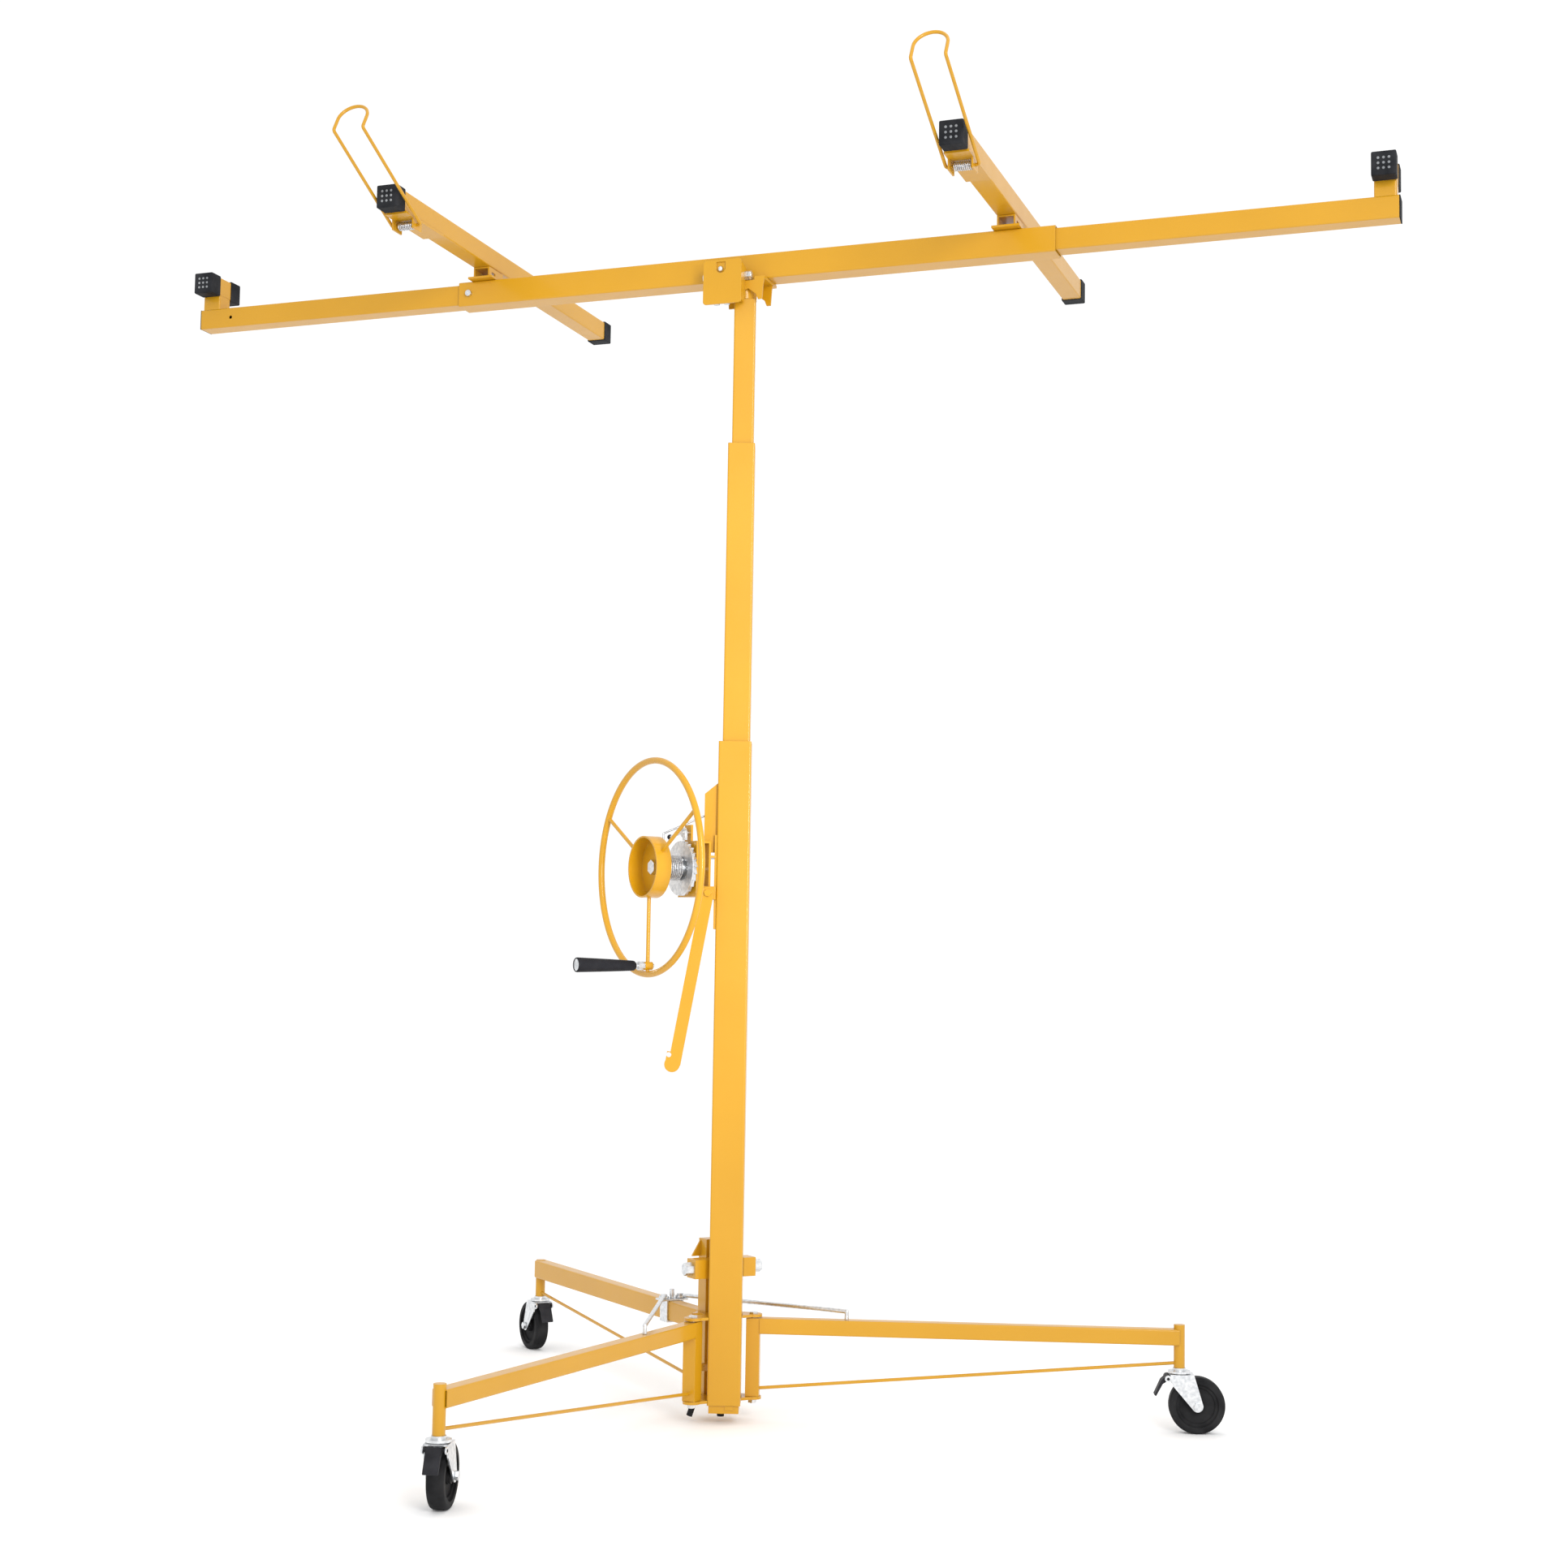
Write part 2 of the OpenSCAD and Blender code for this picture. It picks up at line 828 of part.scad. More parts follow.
// Upper run of the cable: up the middle tube, over its pulley and down to the inner tube's foot
module lift_cable_upper() {
  x = middle_x - mast_middle_w / 2 + mast_wall + 2.25;
  top = middle_top - 24;
  color(zinc)
    in_base() {
      rod([x, cable_y, middle_top - section_len - 18], [x, cable_y, top], cable_d);
      translate([x, 0, top])
        rotate([0, -90, 180])
          rotate([0, 0, -90])
            rotate_extrude(angle = 180)
              translate([cable_y, 0])
                circle(d = cable_d);
      rod([x, -cable_y, top], [x, -cable_y, inner_top - section_len], cable_d);
    }
}

module crank_grip() {
  color(black)
    in_winch()
      translate([-26, 0, -crank_r])
        rotate([0, -90, 0])
          difference() {
            cylinder(d1 = 18, d2 = 27, h = 118);
            translate([0, 0, -1])
              cylinder(d = 8, h = 114);
          }
}

// Pawl lever of the winch brake, with its pin in the bracket
module brake_pawl() {
  color(zinc)
    in_winch() {
      translate([0, 0, pawl_z])
        disc(66.5, 71.5, 18);
      translate([66.5, -10, 51.5])
        cube([5, 10, 14]);
      translate([0, 0, pawl_z])
        disc(65.6, 84, 8);
      rod(pawl_rod[0], pawl_rod[1], pawl_rod_d);
    }
}

module brake_pawl_knob() {
  color(black)
    in_winch()
      difference() {
        translate([69, 53, pawl_z - 6.5])
          sphere(d = 10);
        rod(pawl_rod[0], pawl_rod[1], pawl_rod_d);
      }
}

// Flat bar with a hook at its lower end
module hook_bar() {
  color(yellow)
    in_base()
      translate(bar_pivot)
        rotate([0, bar_lean, 0])
          rotate([90, 0, 0]) {
            translate([0, 0, 0.3])
              linear_extrude(5)
                difference() {
                  union() {
                    translate([-bar_w / 2, -bar_len])
                      square([bar_w, bar_len]);
                    circle(d = bar_w);
                    translate([-4, -bar_len])
                      circle(d = bar_w + 6);
                    translate([-17, -bar_len - 4])
                      square([12, 26]);
                  }
                  translate([-13, 16 - bar_len])
                    circle(d = 9);
                }
            translate([0, 0, -14])
              cylinder(d = 8, h = 16);
            translate([0, 0, 5])
              cylinder(d = 14, h = 5, $fn = 6);
          }
}

// ---- head ----

module head_saddle() {
  color(yellow)
    difference() {
      translate([king.x, king.y, 0]) {
        translate([0, 0, inner_top - 84])
          cylinder(d = king_d, h = saddle_z - inner_top + 80);
        translate([0, 0, inner_top + clear])
          cylinder(d = 42, h = saddle_z - inner_top - 3);
        translate([-46, -cheek_y, saddle_z - 5.5])
          cube([92, cheek_y + 43, 5.5]);
        for (y = [-cheek_y, cheek_y - 3])
          translate([0, y + 3, 0])
            rotate([90, 0, 0])
              linear_extrude(3)
                polygon([[-46, saddle_z - 5], [46, saddle_z - 5], [44, saddle_z - 14],
                         [42, saddle_z - 44], [34, saddle_z - 44], [30, saddle_z - 34],
                         [14, saddle_z - 22], [-6, saddle_z - 30], [-30, saddle_z - 44],
                         [-42, saddle_z - 44], [-44, saddle_z - 14]]);
      }
      // room for the tilt bolt, its nuts and the lugs of the beam
      translate([-90, pivot_y, pivot_z])
        rotate([0, 90, 0])
          cylinder(r = lug_r + 1, h = 120);
    }
}

// Box bracket in front of the beam, which carries the tilt bolt and the latch
module tilt_box() {
  front = pivot_y - 21;
  back = king.y - cheek_y - pivot_y;
  shelf = saddle_z - pivot_z;
  color(yellow)
    difference() {
      union() {
        translate([box_x + box_w / 2, front + 3, box_z + box_h / 2])
          rotate([90, 0, 0])
            linear_extrude(3)
              round_rect(box_w, box_h, 6);
        // side plates, cut back where the beam swings up past them
        for (x = [box_x, box_x + box_w - 3])
          translate([x, pivot_y, pivot_z])
            rotate([90, 0, 90])
              linear_extrude(3)
                polygon([[-19, box_z - pivot_z + 6], [back - turn_room, box_z - pivot_z + 6],
                         [back - turn_room, inner_top + 1 - pivot_z],
                         [back, inner_top + 4 - pivot_z], [back, shelf],
                         [16, shelf], [16, 5], [12, 11], [6, 15.5], [0, 17], [-19, 22]]);
        translate([box_x, front + 2, box_z + 6])
          cube([box_w, back + 19 - turn_room, 3]);
        translate([latch_x - 13, front + 2.9, box_z + 56])
          cube([26, 3, 26]);
      }
      translate([latch_x - 9, front - 1, latch_z + 2])
        cube([18, 4, 12]);
      translate([latch_x, front + 3, latch_z + 2])
        rotate([90, 0, 0])
          cylinder(r = 9, h = 6);
      translate([latch_x, front + 10, latch_z])
        rotate([90, 0, 0])
          cylinder(d = 6.1, h = 20);
      translate([box_x - 5, pivot_y, pivot_z])
        rotate([0, 90, 0])
          cylinder(d = 10, h = box_w + 10);
    }
}

module head_bolts() {
  color(zinc) {
    translate([box_x, pivot_y, pivot_z])
      rotate([0, 90, 0]) {
        translate([0, 0, -6])
          cylinder(d = 9.9, h = box_w + 20);
        translate([0, 0, -6])
          cylinder(d = 18, h = 5.9);
        translate([0, 0, box_w + 0.1])
          cylinder(d = 17, h = 7, $fn = 6);
        translate([0, 0, box_w + 8])
          cylinder(d = 17, h = 5, $fn = 6);
      }
    for (x = [box_x + 24, box_x + 44])
      translate([x, pivot_y - 10, box_z + 1])
        cylinder(d = 12, h = 5, $fn = 6);
  }
}

module tilt_latch() {
  front = pivot_y - 21;
  color(zinc)
    translate([latch_x, 0, latch_z]) {
      rod([0, front - 1, 0], [0, pivot_y + 5, 0], 6);
      rod([0, front + 15, 0], [0, front + 18, 0], 10);
      translate([0, front - 1, 0])
        sphere(d = 10);
    }
}

// ---- cradle ----

module main_beam() {
  mid = beam_z + beam_w / 2;
  color(yellow)
    difference() {
      union() {
        difference() {
          translate([-beam_len / 2, beam_y, mid])
            tube_x(beam_w, beam_w, beam_len, 2);
          for (s = [-1, 1])
            translate([s * lock_x, beam_y + s * beam_w / 2, mid])
              rotate([90, 0, 0])
                cylinder(d = 8.1, h = 12, center = true);
        }
        for (x = [box_x + 13, box_x + box_w - 19])
          translate([x, 0, 0])
            rotate([90, 0, 90])
              linear_extrude(6)
                union() {
                  translate([pivot_y, pivot_z])
                    circle(lug_r);
                  polygon([[pivot_y - 2, pivot_z + 7.5], [beam_y - beam_w / 2 + 1, mid],
                           [beam_y - beam_w / 2 + 1, beam_z + 0.5], [pivot_y, beam_z + 0.5]]);
                }
      }
      translate([-100, pivot_y, pivot_z])
        rotate([0, 90, 0])
          cylinder(d = 10, h = 200);
    }
}

// Brackets on the beam that the cross arms turn on
module arm_pivots() {
  top = beam_z + beam_w;
  color(yellow)
    for (s = [-1, 1])
      translate([arm_at(s), beam_y, top]) {
        translate([-26, -40, 0])
          cube([52, 66, 4]);
        difference() {
          translate([-17, -34, 4])
            cube([34, 58, arm_gap - 4 - clear]);
          translate([-14, -35, 3.9])
            cube([28, 60, arm_gap - 7.2]);
          translate([5, -24, 5])
            cube([20, 16, 10]);
        }
        translate([0, 0, arm_gap - 3])
          cylinder(d = 12, h = 12);
        translate([0, 0, arm_gap + 2.4])
          cylinder(d = 20, h = 6);
      }
}

// Cap on the end of a square tube that points along dir (1 or -1) in Y
module end_cap(dir) {
  difference() {
    translate([-cap_w / 2, dir > 0 ? -cap_len : 0, -cap_w / 2])
      cube([cap_w, cap_len, cap_w]);
    translate([-arm_w / 2, dir > 0 ? -cap_len - 1 : 3, -arm_w / 2])
      cube([arm_w, cap_len - 2, arm_w]);
  }
}

module outrigger(s) {
  mid = beam_z + beam_w / 2;
  color(yellow)
    difference() {
      union() {
        translate([s > 0 ? reach_in : -cradle_len / 2 + 2, beam_y, mid])
          tube_x(outrigger_w, outrigger_w, cradle_len / 2 - 2 - reach_in, 2);
        translate([s * rest_x, beam_y, mid + outrigger_w / 2 - 0.5])
          tube(arm_w, arm_w, arm_z - mid - outrigger_w / 2 + 1, 2);
        translate([s * rest_x, beam_y - rest_len / 2 + 3, arm_z + arm_w / 2])
          tube_y(arm_w, arm_w, rest_len - 6, 2);
      }
      translate([s * (cradle_len / 2 - 72), beam_y + s * 25, mid])
        rotate([90, 0, 0])
          cylinder(d = 7, h = 20, center = true);
    }
}

module outrigger_caps(s) {
  mid = beam_z + beam_w / 2;
  color(black) {
    for (dir = [-1, 1])
      translate([s * rest_x, beam_y + dir * rest_len / 2, arm_z + arm_w / 2])
        end_cap(dir);
    translate([s > 0 ? cradle_len / 2 - 2 : -cradle_len / 2, beam_y - 20, mid - 20])
      cube([2, 40, 40]);
    translate([s > 0 ? cradle_len / 2 - 14 : -cradle_len / 2 + 1.9, beam_y - 17.9, mid - 17.9])
      cube([12.1, 35.8, 35.8]);
  }
}

module outrigger_lock(s) {
  color(zinc)
    translate([s * lock_x, beam_y, beam_z + beam_w / 2])
      rotate([s > 0 ? -90 : 90, 0, 0]) {
        translate([0, 0, beam_w / 2 - 2.8])
          cylinder(d = 8, h = 5);
        translate([0, 0, beam_w / 2 + clear])
          cylinder(d = 12, h = 6);
      }
}

module outrigger_left() { outrigger(-1); }
module outrigger_right() { outrigger(1); }
module outrigger_caps_left() { outrigger_caps(-1); }
module outrigger_caps_right() { outrigger_caps(1); }
module outrigger_lock_left() { outrigger_lock(-1); }
module outrigger_lock_right() { outrigger_lock(1); }

// Cross arm with the hook bracket welded under its near end
module cross_arm(s) {
  color(yellow)
    translate([arm_at(s), beam_y, arm_z])
      difference() {
        union() {
          translate([0, -arm_near + 3, arm_w / 2])
            tube_y(arm_w, arm_w, arm_near + arm_far - 6, 2);
          translate([-22, -371, -4])
            cube([44, 142, 4.2]);
          for (x = [-22, 19])
            translate([x, -346, -23])
              cube([3, 32, 21]);
        }
        translate([0, 0, -1])
          cylinder(d = 12.1, h = 10);
        translate([-30, hook_y - beam_y, hook_z - arm_z])
          rotate([0, 90, 0])
            cylinder(d = hook_wire + 0.1, h = 60);
      }
}

module arm_caps(s) {
  color(black)
    translate([arm_at(s), beam_y, arm_z + arm_w / 2]) {
      translate([0, -arm_near, 0])
        end_cap(-1);
      translate([0, arm_far, 0])
        end_cap(1);
    }
}

// Sprung wire hook that stops the board sliding off
module panel_hook(s) {
  bend = [hook_half, -215, 106];
  lean = [0, 13, 24];
  arc = bend + lean;
  color(yellow)
    translate([arm_at(s), hook_y, hook_z]) {
      for (m = [0, 1])
        mirror([m, 0, 0]) {
          rod([16, 0, 0], [hook_half, 0, 0], hook_wire);
          bent_rod([[hook_half, 0, 0], bend, arc], hook_wire);
          translate([hook_half, 0, 0])
            sphere(d = hook_wire + knuckle);
          translate([hook_half, arc.y, arc.z])
            sphere(d = hook_wire + knuckle);
        }
      translate([0, arc.y, arc.z])
        rotate([atan2(lean.z, lean.y), 0, 0])
          rotate_extrude(angle = 180)
            translate([hook_half, 0])
              circle(d = hook_wire);
    }
}

module hook_spring(s) {
  color(zinc)
    translate([arm_at(s) - 17, hook_y, hook_z])
      rotate([0, 90, 0])
        difference() {
          cylinder(d = 16, h = 34);
          translate([0, 0, -1])
            cylinder(d = 10, h = 36);
        }
}

module cross_arm_left() { cross_arm(-1); }
module cross_arm_right() { cross_arm(1); }
module arm_caps_left() { arm_caps(-1); }
module arm_caps_right() { arm_caps(1); }
module panel_hook_left() { panel_hook(-1); }
module panel_hook_right() { panel_hook(1); }
module hook_spring_left() { hook_spring(-1); }
module hook_spring_right() { hook_spring(1); }

tripod_hub();
mast_yoke();
tripod_bolts();
fixed_leg();
mast_outer();
mast_foot();
mast_foot_plug();
winch_bracket();
release_lever();
release_lever_tip();
leg_right();
leg_left();
fold_slider();
slider_lock_pin();
link_left();
link_right();
caster_stem_right();
caster_stem_left();
caster_stem_rear();
caster_fork_right();
caster_fork_left();
caster_fork_rear();
caster_wheel_right();
caster_wheel_left();
caster_wheel_rear();
caster_pedal_right();
caster_pedal_left();
caster_pedal_rear();
mast_middle();
mast_inner();
winch_wheel();
winch_drum();
winch_hardware();
cable_wrap();
lift_cable();
lift_cable_upper();
crank_grip();
brake_pawl();
brake_pawl_knob();
hook_bar();
head_saddle();
tilt_box();
head_bolts();
tilt_latch();
main_beam();
arm_pivots();
outrigger_left();
outrigger_right();
outrigger_caps_left();
outrigger_caps_right();
outrigger_lock_left();
outrigger_lock_right();
cross_arm_left();
cross_arm_right();
arm_caps_left();
arm_caps_right();
panel_hook_left();
panel_hook_right();
hook_spring_left();
hook_spring_right();
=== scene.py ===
"""Drywall lift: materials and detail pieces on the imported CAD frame."""
import json
import math
import bmesh
import bpy
from mathutils import Matrix, Vector


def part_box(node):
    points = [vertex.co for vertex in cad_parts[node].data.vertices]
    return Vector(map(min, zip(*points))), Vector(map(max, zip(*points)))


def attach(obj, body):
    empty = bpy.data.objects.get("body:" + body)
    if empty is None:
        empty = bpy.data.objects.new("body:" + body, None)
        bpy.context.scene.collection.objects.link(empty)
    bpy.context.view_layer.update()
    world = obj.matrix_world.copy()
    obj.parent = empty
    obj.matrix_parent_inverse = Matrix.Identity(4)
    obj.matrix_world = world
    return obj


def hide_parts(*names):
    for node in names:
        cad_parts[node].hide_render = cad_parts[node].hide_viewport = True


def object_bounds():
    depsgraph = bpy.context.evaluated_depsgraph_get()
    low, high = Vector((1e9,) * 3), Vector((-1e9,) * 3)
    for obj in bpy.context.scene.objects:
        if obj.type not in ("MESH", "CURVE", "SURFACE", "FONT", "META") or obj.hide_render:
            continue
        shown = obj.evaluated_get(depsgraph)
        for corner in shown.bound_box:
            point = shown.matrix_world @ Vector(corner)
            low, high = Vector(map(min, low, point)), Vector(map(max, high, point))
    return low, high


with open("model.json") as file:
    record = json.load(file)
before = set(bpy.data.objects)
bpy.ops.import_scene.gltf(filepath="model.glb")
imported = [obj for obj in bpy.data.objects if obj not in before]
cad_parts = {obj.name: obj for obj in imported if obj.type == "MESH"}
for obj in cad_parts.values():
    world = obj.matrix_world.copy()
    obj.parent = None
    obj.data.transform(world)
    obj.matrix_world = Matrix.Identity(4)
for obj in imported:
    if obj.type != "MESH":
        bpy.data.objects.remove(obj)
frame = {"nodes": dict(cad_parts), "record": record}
CAD_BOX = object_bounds()
NODES = frame["nodes"]
JOINTS = {j["name"]: j for j in frame["record"]["behaviour"]["joints"]}
SLOT_OF = {s["node"]: s["material_slot"] for s in frame["record"]["subparts"]}
SIDES = {"left": -1, "right": 1}

# Sizes in metres
CAP_SIDE = 0.042
CAP_LENGTH = 0.0335
REST_INSET = 0.006               # outer end of an outrigger to the near edge of its rest
REST_HALF_WIDTH = 0.019
PLUG_SIDE = 0.04
PLUG_THICKNESS = 0.002
HOOK_WIRE = 0.003                # radius
HOOK_HALF_WIDTH = 0.029
HOOK_BEND_HEIGHT = 0.106         # bend above the pivot
HOOK_CORNER = 0.005              # bend radius
SPRING_WIRE = 0.0013             # radius
ROPE = 0.00175                   # radius
ROPE_LAYERS = (0.0178, 0.0212)   # radius of each layer's centre line
DRUM_SPAN = (0.0205, 0.0615)     # along the winch's axis
GRIP_SPAN = (0.026, 0.144)       # against the grip's axis, from its pin
FLOOR_REACH = 60.0


# ---- material helpers ----

def new_material(name):
    mat = bpy.data.materials.new(name)
    mat.use_nodes = True
    tree = mat.node_tree
    return mat, tree.nodes, tree.links, tree.nodes["Principled BSDF"]


def noise(nodes, links, scale, detail=4.0, stretch=None):
    """Noise in the frame's own metres, so that its size is the same on every piece."""
    coord = nodes.new("ShaderNodeTexCoord")
    tex = nodes.new("ShaderNodeTexNoise")
    tex.inputs["Scale"].default_value = scale
    tex.inputs["Detail"].default_value = detail
    source = coord.outputs["Object"]
    if stretch:
        mapping = nodes.new("ShaderNodeMapping")
        mapping.inputs["Scale"].default_value = stretch
        links.new(source, mapping.inputs["Vector"])
        source = mapping.outputs["Vector"]
    links.new(source, tex.inputs["Vector"])
    return tex.outputs["Fac"]


def ramp(nodes, links, source, stops):
    node = nodes.new("ShaderNodeValToRGB")
    while len(node.color_ramp.elements) < len(stops):
        node.color_ramp.elements.new(0.5)
    for element, (place, colour) in zip(node.color_ramp.elements, stops):
        element.position = place
        element.color = (*colour, 1.0)
    links.new(source, node.inputs["Fac"])
    return node.outputs["Color"]


def spread(nodes, links, source, low, high):
    node = nodes.new("ShaderNodeMapRange")
    node.inputs["To Min"].default_value = low
    node.inputs["To Max"].default_value = high
    links.new(source, node.inputs["Value"])
    return node.outputs["Result"]


def relief(nodes, links, bsdf, heights, edge=0.0008):
    """Bump from (height source, depth in metres) pairs, over edges rounded by edge metres."""
    round_edge = nodes.new("ShaderNodeBevel")
    round_edge.samples = 4
    round_edge.inputs["Radius"].default_value = edge
    normal = round_edge.outputs["Normal"]
    for source, depth in heights:
        bump = nodes.new("ShaderNodeBump")
        bump.inputs["Distance"].default_value = depth
        bump.inputs["Strength"].default_value = 0.6
        links.new(source, bump.inputs["Height"])
        links.new(normal, bump.inputs["Normal"])
        normal = bump.outputs["Normal"]
    links.new(normal, bsdf.inputs["Normal"])


def edge_highlight_mask(nodes, links, edge, amount):
    """Near 1 on edges, broken up by noise: where a painted highlight lightens the paint."""
    bevel = nodes.new("ShaderNodeBevel")
    bevel.samples = 4
    bevel.inputs["Radius"].default_value = edge
    geometry = nodes.new("ShaderNodeNewGeometry")
    dot = nodes.new("ShaderNodeVectorMath")
    dot.operation = "DOT_PRODUCT"
    links.new(bevel.outputs["Normal"], dot.inputs[0])
    links.new(geometry.outputs["True Normal"], dot.inputs[1])
    turned = nodes.new("ShaderNodeMath")
    turned.operation = "SUBTRACT"
    turned.inputs[0].default_value = 1.0
    links.new(dot.outputs["Value"], turned.inputs[1])
    broken = nodes.new("ShaderNodeMath")
    broken.operation = "MULTIPLY"
    links.new(turned.outputs["Value"], broken.inputs[0])
    links.new(spread(nodes, links, noise(nodes, links, 60), 0.0, amount), broken.inputs[1])
    return broken.outputs["Value"]


# ---- materials ----

def powder_coat():
    mat, nodes, links, bsdf = new_material("powder_coat_yellow")
    base = ramp(nodes, links, noise(nodes, links, 3.5),
                [(0.3, (0.53, 0.262, 0.003)), (0.7, (0.58, 0.290, 0.006))])
    # Lighter yellow mixed in along edges, broken up by noise: painted highlight.
    mix = nodes.new("ShaderNodeMixRGB")
    mix.inputs["Color2"].default_value = (0.78, 0.50, 0.12, 1.0)
    links.new(edge_highlight_mask(nodes, links, 0.0012, 1.6), mix.inputs["Fac"])
    links.new(base, mix.inputs["Color1"])
    links.new(mix.outputs["Color"], bsdf.inputs["Base Color"])
    links.new(spread(nodes, links, noise(nodes, links, 25), 0.30, 0.44), bsdf.inputs["Roughness"])
    bsdf.inputs["Specular IOR Level"].default_value = 0.35
    bsdf.inputs["Coat Weight"].default_value = 0.35
    bsdf.inputs["Coat Roughness"].default_value = 0.12
    relief(nodes, links, bsdf, [(noise(nodes, links, 420, 2.0), 0.00012)], 0.0012)
    return mat


def plated(name, dark, light, rough, stretch=None):
    mat, nodes, links, bsdf = new_material(name)
    colour = ramp(nodes, links, noise(nodes, links, 160, 5.0, stretch), [(0.35, dark), (0.65, light)])
    links.new(colour, bsdf.inputs["Base Color"])
    bsdf.inputs["Metallic"].default_value = 1.0
    links.new(spread(nodes, links, noise(nodes, links, 45), rough, rough + 0.14), bsdf.inputs["Roughness"])
    relief(nodes, links, bsdf, [(noise(nodes, links, 700, 2.0), 0.00005)], 0.0006)
    return mat


def moulded(name, dark, light, rough, grain, depth):
    mat, nodes, links, bsdf = new_material(name)
    colour = ramp(nodes, links, noise(nodes, links, 30), [(0.3, dark), (0.75, light)])
    links.new(colour, bsdf.inputs["Base Color"])
    links.new(spread(nodes, links, noise(nodes, links, 80), rough, rough + 0.15), bsdf.inputs["Roughness"])
    bsdf.inputs["Specular IOR Level"].default_value = 0.05
    relief(nodes, links, bsdf, [(noise(nodes, links, grain, 3.0), depth)], 0.0014)
    return mat


MATERIALS = {
    "yellow_paint": powder_coat(),
    "zinc_steel": plated("zinc_plate", (0.58, 0.60, 0.62), (0.80, 0.81, 0.82), 0.26),
    "spring_steel": plated("spring_wire", (0.50, 0.51, 0.53), (0.74, 0.75, 0.77), 0.22),
    "steel_cable": plated("wire_rope", (0.35, 0.36, 0.38), (0.66, 0.67, 0.68), 0.34, (1, 1, 3)),
    "black_rubber": moulded("moulded_rubber", (0.012, 0.013, 0.015), (0.035, 0.036, 0.04), 0.52, 900, 0.00012),
    "wheel_rubber": moulded("tyre_rubber", (0.010, 0.010, 0.011), (0.030, 0.030, 0.031), 0.48, 600, 0.00015),
    "black_plastic": moulded("moulded_plastic", (0.012, 0.012, 0.014), (0.026, 0.026, 0.03), 0.34, 500, 0.00006),
    "pedal_plastic": moulded("pedal_plastic", (0.016, 0.016, 0.018), (0.040, 0.040, 0.045), 0.40, 500, 0.00008),
}

# Pale grey rubber for the cap nubs: painted highlight on the nubs.
NUB_HIGHLIGHT_RUBBER = moulded("nub_highlight_rubber", (0.16, 0.17, 0.18), (0.34, 0.35, 0.36), 0.5, 700, 0.00006)


# ---- mesh helpers ----

def finish_piece(name, bm, slot, body, stands_for=(), smooth=True):
    mesh = bpy.data.meshes.new(name)
    bmesh.ops.recalc_face_normals(bm, faces=bm.faces)
    bm.to_mesh(mesh)
    bm.free()
    piece = bpy.data.objects.new(name, mesh)
    bpy.context.scene.collection.objects.link(piece)
    if smooth:
        mesh.polygons.foreach_set("use_smooth", [True] * len(mesh.polygons))
    mesh.materials.append(MATERIALS[slot])
    # Second slot, the pale nub rubber: painted highlight.
    if any(p.material_index for p in mesh.polygons):
        mesh.materials.append(NUB_HIGHLIGHT_RUBBER)
    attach(piece, body)
    if stands_for:
        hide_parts(*stands_for)
    return piece


def sweep(bm, points, radius, sides=14, closed=False):
    """Round wire along points, carried round bends without twist."""
    count = len(points)
    rings = []
    side = None
    for i, point in enumerate(points):
        before = points[i - 1] if i or closed else points[i]
        after = points[(i + 1) % count] if i < count - 1 or closed else points[i]
        along = (after - before).normalized()
        if side is None:
            side = along.orthogonal().normalized()
        side = (side - along * side.dot(along)).normalized()
        up = along.cross(side)
        turn = [2 * math.pi * k / sides for k in range(sides)]
        rings.append([bm.verts.new(point + radius * (math.cos(a) * side + math.sin(a) * up)) for a in turn])
    for i in range(count if closed else count - 1):
        here, there = rings[i], rings[(i + 1) % count]
        for k in range(sides):
            n = (k + 1) % sides
            bm.faces.new((here[k], here[n], there[n], there[k]))
    if not closed:
        bm.faces.new(rings[0])
        bm.faces.new(list(reversed(rings[-1])))


def rounded(points, radius, steps=8):
    """A path whose corners are bent on an arc of about radius."""
    path = [points[0]]
    for a, b, c in zip(points, points[1:], points[2:]):
        reach = min(radius, (a - b).length * 0.45, (c - b).length * 0.45)
        start = b + (a - b).normalized() * reach
        end = b + (c - b).normalized() * reach
        for k in range(steps + 1):
            t = k / steps
            path.append((1 - t) ** 2 * start + 2 * t * (1 - t) * b + t ** 2 * end)
    path.append(points[-1])
    return path


def lathe(bm, profile, origin, axis, steps=72):
    """Turns (along, radius) pairs about axis through origin."""
    axis = axis.normalized()
    side = axis.orthogonal().normalized()
    up = axis.cross(side)
    rings = []
    for along, radius in profile:
        ring = []
        for k in range(steps):
            a = 2 * math.pi * k / steps
            ring.append(bm.verts.new(origin + axis * along + radius * (math.cos(a) * side + math.sin(a) * up)))
        rings.append(ring)
    for here, there in zip(rings, rings[1:]):
        for k in range(steps):
            n = (k + 1) % steps
            bm.faces.new((here[k], here[n], there[n], there[k]))
    for ring in (rings[0], rings[-1]):
        bm.faces.new(ring)


def joint_place(name):
    joint = JOINTS[name]
    return Vector(joint["pos_m"]), Vector(joint["axis"]).normalized()


def centre(node):
    low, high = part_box(node)
    return (Vector(low) + Vector(high)) / 2


# ---- detail pieces ----

def bevelled_box(bm, low, high, **bevel):
    """Box from corner low to corner high, with its edges bevelled."""
    size = high - low
    made = bmesh.ops.create_cube(bm, size=1.0, matrix=Matrix.Translation((low + high) / 2)
                                 @ Matrix.Diagonal((size.x, size.y, size.z, 1)))
    edges = list(dict.fromkeys(e for v in made["verts"] for e in v.link_edges))
    bmesh.ops.bevel(bm, geom=edges, affect="EDGES", **bevel)


